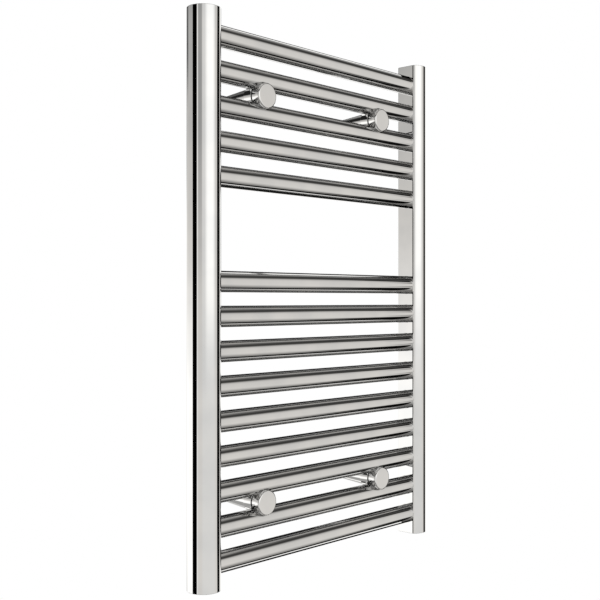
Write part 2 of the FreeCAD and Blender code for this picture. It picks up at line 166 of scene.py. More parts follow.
def minus(mesh, cutters):
    """The mesh with other meshes cut out of it."""
    solid = bpy.data.objects.new("solid", mesh)
    bpy.context.scene.collection.objects.link(solid)
    tools = []
    for cutter in cutters:
        tool = bpy.data.objects.new("tool", cutter)
        bpy.context.scene.collection.objects.link(tool)
        modifier = solid.modifiers.new("cut", "BOOLEAN")
        modifier.operation = "DIFFERENCE"
        modifier.solver = "EXACT"
        modifier.object = tool
        tools.append(tool)
    depsgraph = bpy.context.evaluated_depsgraph_get()
    depsgraph.update()
    cut = bpy.data.meshes.new_from_object(solid.evaluated_get(depsgraph))
    cut.name = mesh.name
    for helper in [solid, *tools]:
        bpy.data.objects.remove(helper)
    cut.shade_smooth()
    cut.set_sharp_from_angle(angle=CREASE)
    return cut


def piece(mesh, node, material, move=(0, 0, 0)):
    """Show a mesh in place of one CAD node, riding on that node's body."""
    shown = bpy.data.objects.new(f"{node}_finish", mesh)
    bpy.context.scene.collection.objects.link(shown)
    shown.location = move
    shown.data.materials.clear()
    shown.data.materials.append(material)
    steady = shown.modifiers.new("steady_normals", "WEIGHTED_NORMAL")
    steady.keep_sharp = True
    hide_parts(node)
    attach(shown, frame["nodes"][node]["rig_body"])


# --------------------------------------------------------------- materials

CHROME_LIGHT = (0.565, 0.563, 0.558, 1)
CHROME_DARK = (0.515, 0.518, 0.520, 1)
CHROME_ROUGH = (0.010, 0.035)
ZINC_LIGHT, ZINC_DARK, ZINC_ROUGH = (0.60, 0.61, 0.63, 1), (0.42, 0.43, 0.46, 1), 0.24
NICKEL_LIGHT, NICKEL_DARK, NICKEL_ROUGH = (0.70, 0.66, 0.57, 1), (0.55, 0.51, 0.43, 1), 0.16
RUBBER_DARK, RUBBER_LIGHT = (0.018, 0.018, 0.019, 1), (0.045, 0.043, 0.040, 1)
RUBBER_ROUGH = (0.55, 0.8)

# How fine each noise is, in features per metre.
STREAKS, SMUDGES, RIPPLE = 1400, 26, 60
MOTTLE, CUTTING_LINES = 220, 900
BLOOM = 500
CLOUD = 3.0


def new_material(name):
    material = bpy.data.materials.new(name)
    material.use_nodes = True
    nodes = material.node_tree.nodes
    return material, nodes, material.node_tree.links, nodes["Principled BSDF"]


def scaled(nodes, links, source, scale):
    """Coordinates stretched by a factor along each axis, to draw a noise out into lines."""
    mapping = nodes.new("ShaderNodeMapping")
    mapping.inputs["Scale"].default_value = scale
    links.new(source, mapping.inputs["Vector"])
    return mapping.outputs["Vector"]


def noise(nodes, links, vector, scale, detail):
    texture = nodes.new("ShaderNodeTexNoise")
    texture.inputs["Scale"].default_value = scale
    texture.inputs["Detail"].default_value = detail
    links.new(vector, texture.inputs["Vector"])
    return texture.outputs["Fac"]


def spread(nodes, links, value, low, high, window=(0.3, 0.7)):
    """A value between low and high, as a noise goes through the window."""
    remap = nodes.new("ShaderNodeMapRange")
    remap.interpolation_type = "SMOOTHSTEP"
    remap.inputs["From Min"].default_value, remap.inputs["From Max"].default_value = window
    remap.inputs["To Min"].default_value = low
    remap.inputs["To Max"].default_value = high
    links.new(value, remap.inputs["Value"])
    return remap.outputs["Result"]


def blend_colours(nodes, links, value, first, second):
    mix = nodes.new("ShaderNodeMix")
    mix.data_type = "RGBA"
    links.new(value, mix.inputs["Factor"])
    mix.inputs["A"].default_value = first
    mix.inputs["B"].default_value = second
    return mix.outputs["Result"]


def bump(nodes, links, height, strength, distance, after=None):
    node = nodes.new("ShaderNodeBump")
    node.inputs["Strength"].default_value = strength
    node.inputs["Distance"].default_value = distance
    links.new(height, node.inputs["Height"])
    if after is not None:
        links.new(after, node.inputs["Normal"])
    return node.outputs["Normal"]


def around_axis(nodes, links, place):
    """Coordinates that are constant round the Y axis: distance from it, and along it."""
    parts = nodes.new("ShaderNodeSeparateXYZ")
    links.new(place, parts.inputs[0])
    across = nodes.new("ShaderNodeCombineXYZ")
    links.new(parts.outputs["X"], across.inputs["X"])
    links.new(parts.outputs["Z"], across.inputs["Y"])
    radius = nodes.new("ShaderNodeVectorMath")
    radius.operation = "LENGTH"
    links.new(across.outputs[0], radius.inputs[0])
    around = nodes.new("ShaderNodeCombineXYZ")
    links.new(radius.outputs["Value"], around.inputs["X"])
    links.new(parts.outputs["Y"], around.inputs["Y"])
    return around.outputs[0]


GRAIN_STRETCH = {"X": (0.01, 1, 1), "Z": (1, 1, 0.01)}


def chrome(name, grain):
    """Polished chrome: plating ripple, fine polishing lines along the grain, faint smudges.

    The grain is the axis the lines run along, or "turned" for lines round the Y axis.
    """
    material, nodes, links, shader = new_material(name)
    place = nodes.new("ShaderNodeTexCoord").outputs["Object"]
    if grain == "turned":
        lines = around_axis(nodes, links, place)
    else:
        lines = scaled(nodes, links, place, GRAIN_STRETCH[grain])
    streaks = noise(nodes, links, lines, STREAKS, 2.0)
    smudges = noise(nodes, links, place, SMUDGES, 4.0)
    ripple = noise(nodes, links, place, RIPPLE, 1.0)
    links.new(blend_colours(nodes, links, spread(nodes, links, smudges, 0, 1), CHROME_LIGHT, CHROME_DARK),
              shader.inputs["Base Color"])
    links.new(spread(nodes, links, smudges, *CHROME_ROUGH, (0.45, 0.8)), shader.inputs["Roughness"])
    shader.inputs["Metallic"].default_value = 1.0
    rippled = bump(nodes, links, ripple, 0.04, 0.02 * MM)
    links.new(bump(nodes, links, streaks, 0.03, 0.0015 * MM, rippled), shader.inputs["Normal"])
    return material


def machined(name, light, dark, rough):
    """Plated or bare machined metal: cutting lines, a mottled passivated surface."""
    material, nodes, links, shader = new_material(name)
    place = nodes.new("ShaderNodeTexCoord").outputs["Object"]
    mottle = noise(nodes, links, place, MOTTLE, 5.0)
    lines = noise(nodes, links, scaled(nodes, links, place, (0.2, 1, 0.2)), CUTTING_LINES, 2.0)
    links.new(blend_colours(nodes, links, spread(nodes, links, mottle, 0, 1), light, dark),
              shader.inputs["Base Color"])
    links.new(spread(nodes, links, mottle, rough * 0.8, rough * 1.4), shader.inputs["Roughness"])
    shader.inputs["Metallic"].default_value = 1.0
    links.new(bump(nodes, links, lines, 0.25, 0.02 * MM), shader.inputs["Normal"])
    return material


def rubber(name):
    """Matt black sealing ring with a dusty bloom."""
    material, nodes, links, shader = new_material(name)
    place = nodes.new("ShaderNodeTexCoord").outputs["Object"]
    bloom = noise(nodes, links, place, BLOOM, 4.0)
    links.new(blend_colours(nodes, links, spread(nodes, links, bloom, 0, 1), RUBBER_DARK, RUBBER_LIGHT),
              shader.inputs["Base Color"])
    links.new(spread(nodes, links, bloom, *RUBBER_ROUGH), shader.inputs["Roughness"])
    links.new(bump(nodes, links, bloom, 0.3, 0.03 * MM), shader.inputs["Normal"])
    return material


rail_chrome = chrome("chrome_rails", "X")
upright_chrome = chrome("chrome_uprights", "Z")
turned_chrome = chrome("chrome_turned", "turned")
zinc = machined("zinc_plated_steel", ZINC_LIGHT, ZINC_DARK, ZINC_ROUGH)
nickel = machined("nickel_plated_brass", NICKEL_LIGHT, NICKEL_DARK, NICKEL_ROUGH)
black_rubber = rubber("black_rubber")


# ---------------------------------------------------------------- uprights

low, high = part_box("collector_left")
RAIL_Y = (low.y + high.y) / 2
ROUND = (high.y - low.y) / 2                      # radius of the round side
FLAT = (high.x - low.x) - ROUND                   # axis to the flat side
UPRIGHT_X = -(low.x + ROUND)
FOOT, TOP = low.z, high.z
WALL = 1.2 * MM
EDGE = 4.0 * MM                                   # corners beside the flat side
EDGE_MIN = 0.25 * MM                              # the same on an inner outline, at least
FLAT_STEPS = 28                                   # points of a D outline: along its flat side,
EDGE_STEPS = 7                                    # round each corner beside it
ROUND_STEPS = 110                                 # and round its back
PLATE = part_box("end_plate_left")[1].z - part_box("end_plate_left")[0].z


def d_outline(side, inset, z):
    """Loop round a D section with its flat towards the rails; side is -1 left, +1 right."""
    radius = ROUND - inset
    flat = FLAT - inset
    edge = max(EDGE - inset, EDGE_MIN)
    middle = flat - edge
    half = math.sqrt((radius - edge) ** 2 - middle ** 2)
    turn = math.atan2(half, middle)
    corner = []
    for i in range(EDGE_STEPS + 1):
        angle = turn * i / EDGE_STEPS
        corner.append((middle + edge * math.cos(angle), half + edge * math.sin(angle)))
    path = [(flat, half * (2 * i / FLAT_STEPS - 1)) for i in range(FLAT_STEPS)]
    path += corner
    sweep = 2 * (math.pi - turn)
    for i in range(1, ROUND_STEPS):
        angle = turn + sweep * i / ROUND_STEPS
        path.append((radius * math.cos(angle), radius * math.sin(angle)))
    path += [(toward, -across) for toward, across in reversed(corner[1:])]
    return [Vector((side * (UPRIGHT_X - toward), RAIL_Y + across, z)) for toward, across in path]


def bearings(side):
    """Direction from the upright's axis to each point of its outline, as an angle."""
    axis = Vector((side * UPRIGHT_X, RAIL_Y, 0))
    return [math.atan2((p - axis).y, (p - axis).x) for p in d_outline(side, 0, 0)]


def port_loop(side, radius, z):
    """Circle round the port whose points face those of the D outline."""
    loop = []
    for angle in bearings(side):
        size = radius(angle) if callable(radius) else radius
        loop.append(Vector((side * UPRIGHT_X + size * math.cos(angle), RAIL_Y + size * math.sin(angle), z)))
    return loop


PORT_CREST = 10.45 * MM                           # radius of the port outside its thread
PORT_THREAD = 1.15 * MM                           # depth of its thread
PORT_PITCH = 1.814 * MM
PORT_BOSS = 11.4 * MM
PORT_LENGTH = 12 * MM
SEAM = 0.25 * MM                                  # groove left by the ground weld
MITRE = 0.45 * MM                                 # rounding of the tube's ends
PLATE_FIT = 0.02 * MM                             # plate to tube
CAP_REACH = 8 * MM                                # an end plate's inset at 1 in its profile
PORT_ROWS = 8                                     # rows of points for each turn of the port's thread
PLATE_SINK = 0.04 * MM                            # plate's face below the tube's end
PORT_LEAD = 0.5 * MM                              # chamfer of the port's mouth
PORT_RUNOUT = 0.4 * MM                            # plain length behind its thread

for side, word in ((-1, "left"), (1, "right")):
    tube = softened([(0, FOOT), (0, TOP), (WALL, TOP), (WALL, FOOT)], MITRE)
    piece(loft(f"collector_{word}", [d_outline(side, p.x, p.y) for p in tube]),
          f"collector_{word}", upright_chrome)

    inset = WALL + PLATE_FIT
    points = len(bearings(side))
    cap = softened([(1, TOP - PLATE), (0, TOP - PLATE), (0, TOP - PLATE_SINK), (1, TOP - PLATE_SINK)],
                   SEAM, closed=False)
    loops = []
    for inward, z in cap:                         # inward is 0 at the rim, and 1 for the centre
        if inward == 1:
            loops.append([Vector((side * UPRIGHT_X, RAIL_Y, z))] * points)
        else:
            loops.append(d_outline(side, inset + inward * CAP_REACH, z))
    piece(loft(f"end_plate_{word}", loops, closed=False), f"end_plate_{word}", upright_chrome)

    plate_top = FOOT + PLATE
    face = FOOT + PLATE_SINK
    inner_end = FOOT + PORT_LENGTH
    rows = [d_outline(side, inset, plate_top), d_outline(side, inset, face + SEAM),
            d_outline(side, inset + SEAM, face), port_loop(side, PORT_CREST + PORT_LEAD, face)]
    for radius, z in thread(PORT_CREST, PORT_THREAD, PORT_PITCH,
                            face + PORT_LEAD, inner_end - PORT_RUNOUT, PORT_ROWS):
        rows.append(port_loop(side, radius, z))
    rows += [port_loop(side, PORT_CREST, inner_end), port_loop(side, PORT_BOSS, inner_end),
             port_loop(side, PORT_BOSS, plate_top)]
    piece(loft(f"port_plate_{word}", rows), f"port_plate_{word}", upright_chrome)


# ------------------------------------------------------------------- rails

RAIL_COUNT = sum(node.startswith("rail_") for node in frame["nodes"])
RAIL_WALL = 1.0 * MM
BRAZE = 0.25 * MM                                 # fillet where a rail meets the flat
BRAZE_STEPS = 6
RAIL_LIP = 0.1 * MM                               # how far the fillet's back goes into the flat

for number in range(1, RAIL_COUNT + 1):
    node = f"rail_{number:02d}"
    low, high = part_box(node)
    radius = (high.z - low.z) / 2
    joint = UPRIGHT_X - FLAT
    flare = []
    for i in range(BRAZE_STEPS + 1):
        turn = math.pi / 2 * i / BRAZE_STEPS
        flare.append((radius + BRAZE * (1 - math.cos(turn)), joint - BRAZE + BRAZE * math.sin(turn)))
    outside = [(radius, high.x), (radius, joint + RAIL_LIP), *reversed(flare)]
    outside += [(r, -x) for r, x in flare]
    outside += [(radius, -joint - RAIL_LIP), (radius, low.x)]
    profile = outside + [(radius - RAIL_WALL, low.x), (radius - RAIL_WALL, high.x)]
    centre = (0, (low.y + high.y) / 2, (low.z + high.z) / 2)
    piece(turned(node, profile, "X", centre), node, rail_chrome)


# ---------------------------------------------------------------- brackets

RAIL_RADIUS = (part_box("rail_01")[1].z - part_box("rail_01")[0].z) / 2
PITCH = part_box("rail_01")[1].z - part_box("rail_02")[1].z
AWAY = -1                                         # brackets are built from the wall towards -Y
SEAT_FIT = 0.05 * MM                              # rail to saddle
FINE = 48                                         # segments round the small turned pieces
SMOOTH = 144                                      # and round the discs and seats

# Bracket sizes in mm: radii, and lengths along the bracket's own axis or the screw's.
SOCKET_RADIUS, SOCKET_CHAMFER = 9.75, 1.0
SOCKET_BORE, SOCKET_BASE = 6.55, 4
WALL_HOLE = 2.75
GRUB_BORE, GRUB_SETBACK = 2, 6
GRUB_BORE_START, GRUB_BORE_END = 6, 12            # from the bracket's axis, downwards
GRUB_KEY, GRUB_KEY_DEPTH, GRUB_KEY_POINT = 2, 1.4, 1.7
GRUB_PITCH, GRUB_THREAD, GRUB_LEAD = 0.7, 0.35, 0.5
GRUB_TIP_CHAMFER, GRUB_CHAMFER = 0.6, 0.3
STEM_RADIUS, STEM_STRAIGHT, STEM_MOUTH = 6.5, 19, 10.8
STEM_BORE, STEM_BORE_START, DRILL_POINT = 3, 46, 1.2
SPIGOT_RADIUS, SPIGOT_HOLE, SPIGOT_LENGTH = 5, 5.05, 4
REAR_RADIUS, REAR_RIM, REAR_BORE = 12, 0.8, 3.3
FRONT_RADIUS, FRONT_BORE = 11.5, 5.55
FLANGE_RADIUS, FLANGE_THICKNESS = 13.7, 3
DISC_RADIUS, DISC_THICKNESS, DISC_ROUND = 14, 3, 1.8
DISC_CORNER, DISC_STEPS = 0.2, 12
BOSS_RADIUS, BOSS_BORE, BOSS_BORE_DEPTH = 5.5, 3, 7
BOLT_RADIUS, BOLT_CHAMFER = 2.95, 0.5
BOLT_PITCH, BOLT_THREAD = 1.0, 0.55
BOLT_REAR, BOLT_FRONT = 2.3, 2.4                  # radii of the bolt's two end faces
SCREW_ROWS = 6                                    # rows of points for each turn of a screw's thread


def along_bracket(profile):
    """(radius, distance from the wall) in mm, as (radius, y) in metres."""
    return [(r * MM, AWAY * d * MM) for r, d in profile]


def extent(node):
    """How far a node reaches from the wall, nearest and furthest, in mm."""
    low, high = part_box(node)
    return -high.y / MM, -low.y / MM


def grooved(mesh):
    """The saddle with the seats of its two rails cut in it."""
    reach = 20 * MM
    radius = RAIL_RADIUS + SEAT_FIT
    seats = [turned("seat", [(0, -reach), (radius, -reach), (radius, reach), (0, reach)], "X",
                    (0, RAIL_Y, z), closed=False, segments=SMOOTH) for z in (PITCH / 2, -PITCH / 2)]
    return minus(mesh, seats)


def wall_socket_mesh():
    start, end = extent("wall_socket_upper_left")
    cup = turned("wall_socket", softened(along_bracket([
        (WALL_HOLE, start),
        (SOCKET_RADIUS, start),
        (SOCKET_RADIUS, end - SOCKET_CHAMFER),
        (SOCKET_RADIUS - SOCKET_CHAMFER, end),
        (SOCKET_BORE, end),
        (SOCKET_BORE, start + SOCKET_BASE),
        (WALL_HOLE, start + SOCKET_BASE),
    ])))
    near, far, radius = GRUB_BORE_START * MM, GRUB_BORE_END * MM, GRUB_BORE * MM
    hole = [(0, -far), (radius, -far), (radius, -near), (0, -near)]
    drill = turned("drill", hole, "Z", (0, AWAY * (end - GRUB_SETBACK) * MM, 0), closed=False, segments=FINE)
    return minus(cup, [drill])


def grub_screw_mesh():
    low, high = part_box("grub_screw_upper_left")
    centre_z = (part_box("disc_upper_left")[0].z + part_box("disc_upper_left")[1].z) / 2
    head, tip = low.z - centre_z, high.z - centre_z
    radius = (high.x - low.x) / 2
    key = flats(GRUB_KEY * MM, 6)
    lead = GRUB_LEAD * MM
    rows = [(0, tip), (radius - GRUB_TIP_CHAMFER * MM, tip), (radius, tip - lead)]
    rows += [(r, -a) for r, a in thread(radius, GRUB_THREAD * MM, GRUB_PITCH * MM,
                                        lead - tip, -head - GRUB_PITCH / 2 * MM, SCREW_ROWS)]
    rows += [(radius - GRUB_CHAMFER * MM, head), (key, head), (key, head + GRUB_KEY_DEPTH * MM),
             (0, head + GRUB_KEY_POINT * MM)]
    y = AWAY * (extent("wall_socket_upper_left")[1] - GRUB_SETBACK) * MM
    return turned("grub_screw", rows, "Z", (0, y, 0), closed=False, segments=FINE)


def stem_mesh():
    start, end = extent("stem_upper_left")
    shoulder = end - SPIGOT_LENGTH
    bore = start + STEM_BORE_START
    profile = [
        (0, start),
        (STEM_RADIUS, start),
        (STEM_RADIUS, start + STEM_STRAIGHT),
        (STEM_MOUTH, shoulder),
        (SPIGOT_RADIUS, shoulder),
        (SPIGOT_RADIUS, end),
        (STEM_BORE, end),
        (STEM_BORE, bore),
        (0, bore - DRILL_POINT),
    ]
    return turned("stem", softened(along_bracket(profile), closed=False), closed=False)


def rear_saddle_mesh():
    start, end = extent("rear_saddle_upper_left")
    floor = start + SPIGOT_LENGTH
    return grooved(turned("rear_saddle", softened(along_bracket([
        (SPIGOT_HOLE, start),
        (REAR_RADIUS - REAR_RIM, start),
        (REAR_RADIUS, start + REAR_RIM),
        (REAR_RADIUS, end),
        (REAR_BORE, end),
        (REAR_BORE, floor),
        (SPIGOT_HOLE, floor),
    ]))))


def front_saddle_mesh():
    start, end = extent("front_saddle_upper_left")
    flange = end - FLANGE_THICKNESS
    return grooved(turned("front_saddle", softened(along_bracket([
        (FRONT_BORE, start),
        (FRONT_RADIUS, start),
        (FRONT_RADIUS, flange),
        (FLANGE_RADIUS, flange),
        (FLANGE_RADIUS, end),
        (FRONT_BORE, end),
    ]))))


def disc_mesh():
    start, end = extent("disc_upper_left")
    back = end - DISC_THICKNESS
    bore_end = start + BOSS_BORE_DEPTH
    edge = []
    for i in range(DISC_STEPS + 1):
        turn = math.pi / 2 * i / DISC_STEPS
        edge.append((DISC_RADIUS - DISC_ROUND * (1 - math.sin(turn)),
                     end - DISC_ROUND * (1 - math.cos(turn))))
    profile = [
        (0, end),
        *edge,
        (DISC_RADIUS, back),
        (BOSS_RADIUS, back),
        (BOSS_RADIUS, start),
        (BOSS_BORE, start),
        (BOSS_BORE, bore_end),
        (0, bore_end + DRILL_POINT),
    ]
    rounded = softened(along_bracket(profile), DISC_CORNER * MM, closed=False)
    return turned("disc", rounded, closed=False, segments=SMOOTH)


def clamp_bolt_mesh():
    start, end = extent("clamp_bolt_upper_left")
    rows = along_bracket([(0, start), (BOLT_REAR, start)])
    rows += [(r, AWAY * a) for r, a in thread(BOLT_RADIUS * MM, BOLT_THREAD * MM, BOLT_PITCH * MM,
                                              (start + BOLT_CHAMFER) * MM, (end - BOLT_CHAMFER) * MM,
                                              SCREW_ROWS)]
    rows += along_bracket([(BOLT_FRONT, end), (0, end)])
    return turned("clamp_bolt", rows, closed=False, segments=FINE)


BRACKET_PIECES = {
    "wall_socket": (wall_socket_mesh, turned_chrome),
    "grub_screw": (grub_screw_mesh, zinc),
    "stem": (stem_mesh, turned_chrome),
    "rear_saddle": (rear_saddle_mesh, turned_chrome),
    "front_saddle": (front_saddle_mesh, turned_chrome),
    "disc": (disc_mesh, turned_chrome),
    "clamp_bolt": (clamp_bolt_mesh, zinc),
}

for kind, (build, material) in BRACKET_PIECES.items():
    mesh = build()
    for corner in ("upper_left", "upper_right", "lower_left", "lower_right"):
        low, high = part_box(f"disc_{corner}")
        centre = (low + high) / 2
        piece(mesh, f"{kind}_{corner}", material, move=(centre.x, 0, centre.z))


# ---------------------------------------------------------------- air vent

vent_low, vent_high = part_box("vent_socket")
VENT_X = (vent_low.x + vent_high.x) / 2
VENT_Z = (vent_low.z + vent_high.z) / 2

VENT_BORE = 5.75 * MM
VENT_ROOT = 0.6 * MM                              # how deep the socket stands in the tube's wall,
VENT_ROOT_SPREAD = 0.1 * MM                       # and how much wider it is there
VENT_WELD = 0.9 * MM                              # fillet round the socket
WELD_STEPS = 5
RIM_CHAMFER = 0.25 * MM
RIM_ROUND = 0.3 * MM
RIM_HEIGHT = 1.0 * MM                             # plain wall below the rounded rim
SEAL_BORE = 5.78 * MM
SEAL_ROUND = 0.6 * MM
PLUG_FLATS = 15 * MM
PLUG_CORNER = 8.5 * MM                            # radius of the hexagon's turned corners
PLUG_FACE = 7.3 * MM                              # radius where its chamfer starts
HEXAGON_CHAMFER = math.radians(30)
PLUG_THREAD = 5.7 * MM                            # radius over the plug's thread
PLUG_LEAD = 0.5 * MM
PLUG_BORE = 2.6 * MM
PLUG_BORE_INNER = 2.55 * MM                       # the bore's radius at its inner end
PLUG_CHAMFER = 0.4 * MM
HEXAGON_BACK, HEXAGON_FRONT = 0.3 * MM, 0.25 * MM       # depth of its chamfers at the ends,
PLUG_BACK_FACE, PLUG_FRONT_FACE = 7.0 * MM, 7.1 * MM    # and radius of the flat faces there
BLEED_STEM = 2.45 * MM
BLEED_TIP = 0.8 * MM
BLEED_CONE, BLEED_CONE_BASE = 1.0 * MM, 2.4 * MM        # length and radius
BLEED_NECK, BLEED_NECK_LENGTH = 2.2 * MM, 0.3 * MM
BLEED_SQUARE, BLEED_SQUARE_LENGTH = 3.4 * MM, 3.9 * MM
BLEED_SQUARE_END, BLEED_CHAMFER = 3.0 * MM, 0.25 * MM


def on_collector(radius, proud):
    """Loop round the vent's axis laid on the collector's round back."""
    points = []
    for i in range(SEGMENTS):
        angle = 2 * math.pi * i / SEGMENTS
        x, z = radius * math.sin(angle), radius * math.cos(angle)
        points.append(Vector((x, RAIL_Y + math.sqrt(ROUND ** 2 - x ** 2) + proud, z)))
    return points


def vent_socket_mesh():
    radius = (vent_high.x - vent_low.x) / 2
    face = vent_high.y
    loops = [on_collector(radius + VENT_ROOT_SPREAD, -VENT_ROOT)]
    for i in range(WELD_STEPS + 1):
        turn = math.pi / 2 * i / WELD_STEPS
        loops.append(on_collector(radius + VENT_WELD * (1 - math.sin(turn)),
                                  VENT_WELD * (1 - math.cos(turn))))
    rim = softened([(radius, face - RIM_HEIGHT), (radius, face), (VENT_BORE + RIM_CHAMFER, face),
                    (VENT_BORE, face - 2 * RIM_CHAMFER)], RIM_ROUND, closed=False)
    loops += [ring("Y", (0, 0, 0), p.x, p.y) for p in rim]
    loops.append(on_collector(VENT_BORE, -VENT_ROOT))
    return loft("vent_socket", loops)


def vent_seal_mesh():
    low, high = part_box("vent_seal")
    outer = (high.x - low.x) / 2
    section = [(SEAL_BORE, low.y), (outer, low.y), (outer, high.y), (SEAL_BORE, high.y)]
    return turned("vent_seal", softened(section, SEAL_ROUND))


def hexagon_ring(y, side):
    """Loop of the plug's head; its corners are chamfered back towards the other side."""
    hexagon = flats(PLUG_FLATS, 6)

    def size(angle):
        return min(hexagon(angle), PLUG_CORNER)

    points = ring("Y", (0, 0, 0), size, y)
    for i, point in enumerate(points):
        over = max(0, size(2 * math.pi * i / SEGMENTS) - PLUG_FACE)
        point.y += side * over * math.tan(HEXAGON_CHAMFER)
    return points


def vent_plug_mesh():
    low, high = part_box("vent_plug")
    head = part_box("vent_seal")[1].y
    inside = [
        (PLUG_BORE_INNER, low.y + PLUG_CHAMFER),
        (PLUG_BORE + PLUG_CHAMFER, low.y),
        (PLUG_THREAD - PLUG_LEAD, low.y),
        (PLUG_THREAD, low.y + PLUG_LEAD),
        (PLUG_THREAD, head),
        (PLUG_BACK_FACE, head),
    ]
    outside = [
        (PLUG_FRONT_FACE, high.y),
        (PLUG_BORE + PLUG_CHAMFER, high.y),
        (PLUG_BORE, high.y - PLUG_CHAMFER),
    ]
    loops = [ring("Y", (0, 0, 0), radius, y) for radius, y in inside]
    loops += [hexagon_ring(head + HEXAGON_BACK, 1), hexagon_ring(high.y - HEXAGON_FRONT, -1)]
    loops += [ring("Y", (0, 0, 0), radius, y) for radius, y in outside]
    return loft("vent_plug", loops)


def bleed_screw_mesh():
    low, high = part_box("bleed_screw")
    square = flats(BLEED_SQUARE, 4)
    shoulder = high.y - BLEED_SQUARE_LENGTH
    profile = [
        (0, low.y),
        (BLEED_TIP, low.y),
        (BLEED_CONE_BASE, low.y + BLEED_CONE),
        (BLEED_STEM, shoulder - BLEED_NECK_LENGTH),
        (BLEED_NECK, shoulder),
        (square, shoulder),
        (square, high.y - BLEED_CHAMFER),
        (flats(BLEED_SQUARE_END, 4), high.y),
        (0, high.y),
    ]
    return turned("bleed_screw", profile, closed=False)


for build, node, material in ((vent_socket_mesh, "vent_socket", upright_chrome),
                              (vent_seal_mesh, "vent_seal", black_rubber),
                              (vent_plug_mesh, "vent_plug", nickel),
                              (bleed_screw_mesh, "bleed_screw", nickel)):
    piece(build(), node, material, move=(VENT_X, 0, VENT_Z))


# ------------------------------------------------------------------ studio

REFLECTANCE = 0.545                               # of the chrome, by which the studio is lit


def level(grey):
    """Radiance that polished chrome shows as this sRGB grey, from 0 to 255."""
    tone = grey / 255
    linear = tone / 12.92 if tone < 0.04 else ((tone + 0.055) / 1.055) ** 2.4
    return linear / REFLECTANCE


def tinted(tone, tint):
    return (*(tone * share for share in tint), 1)


SKY_TINT = (1, 0.972, 0.93)
PANEL_TINT = (1, 0.992, 0.97)

# Vertical tones of the empty studio: (elevation in degrees, grey).
SKY = [(-90, 200), (-77, 190), (-71, 70), (-64, 70), (-58, 150), (-50, 150), (-42, 112), (-35, 138),
       (-28, 182), (-18, 206), (5, 203), (14, 200), (23, 180), (29, 100), (33, 54), (38, 56),
       (43, 90), (50, 190), (60, 205), (66, 70), (73, 70), (79, 210), (90, 255)]

# Softboxes and flags round the object: direction and half width (degrees counterclockwise
# from +X), softness of the sides, lowest and highest elevation, softness of those, and grey.
PANELS = [
    (262, 44, 16, -30, 24, 10, 209),   # pale wall in front
    (271, 25, 32, -2, 22, 10, 256),    # front softbox
    (201, 13, 8, 4, 26, 16, 150),      # grey wall at the front left
    (184, 3, 3, -20, 24, 10, 225),     # its bright edge
    (115, 38, 14, -70, -1, 12, 258),   # white floor sweep behind on the left
    (115, 38, 14, 9.5, 30, 20, 162),   # grey wall behind on the left
    (92, 50.5, 1.5, 24, 62, 8, 250),   # high softbox above it
    (120, 22, 4, 18, 56, 6, 30),       # black card before the softbox
    (85, 15, 6, 12, 46, 4, 90),        # grey card beside it
    (58, 14, 4, 6, 41, 4, 75),         # darker card at its end
    (121, 21, 4, -60, -42, 4, 25),     # black card near the floor
    (113, 28, 6, -42, -20, 6, 150),    # pale card above it
    (65, 18, 6, -50, -14, 6, 175),     # and beside it
    (6, 14, 8, 33, 62, 8, 145),        # ceiling at the right
    (18, 8, 4, 33, 62, 4, 235),        # its lamp
    (358, 7, 3, -62, -33, 6, 245),     # light floor at the right
    (25, 19, 4, -46, -20, 4, 22),      # dark gap behind on the right
    (30, 24, 6, -20, 0, 6, 225),       # white strip low at the right
    (14, 10, 6, -2, 24, 8, 235),       # white strip at the right
    (38, 12, 4, 0, 36, 4, 30),         # dark flag behind on the right
    (163, 16.5, 2.5, -75, 75, 10, 0),  # black flag at the left
    (342, 12.5, 3, -32, 30, 6, 12),    # black flag at the right
    (337.5, 12, 2, -15, 15, 6, 12),    # its near edge
    (343.5, 7.5, 4, -62, -28, 4, 0),   # its foot
]


def math_node(nodes, links, operation, *values):
    """A Math node; each value is a number or the output of another node."""
    node = nodes.new("ShaderNodeMath")
    node.operation = operation
    for socket, value in zip(node.inputs, values):
        if isinstance(value, (int, float)):
            socket.default_value = value
        else:
            links.new(value, socket)
    return node.outputs[0]


def sky_colour(nodes, links, rise):
    """The studio's tone by elevation; rise is the elevation's sine."""
    sky = nodes.new("ShaderNodeValToRGB")
    links.new(math_node(nodes, links, "MULTIPLY_ADD", rise, 0.5, 0.5), sky.inputs["Fac"])
    sky.color_ramp.interpolation = "EASE"
    stops = sky.color_ramp.elements
    while len(stops) > 1:
        stops.remove(stops[-1])
    for i, (elevation, grey) in enumerate(SKY):
        position = 0.5 + 0.5 * math.sin(math.radians(elevation))
        stop = stops[0] if i == 0 else stops.new(position)
        stop.position = position
        stop.color = tinted(level(grey) / 2, SKY_TINT)        # halved, so that it stays below 1
    doubled = nodes.new("ShaderNodeVectorMath")
    doubled.operation = "SCALE"
    doubled.inputs["Scale"].default_value = 2.0
    links.new(sky.outputs["Color"], doubled.inputs[0])
    return doubled.outputs[0]


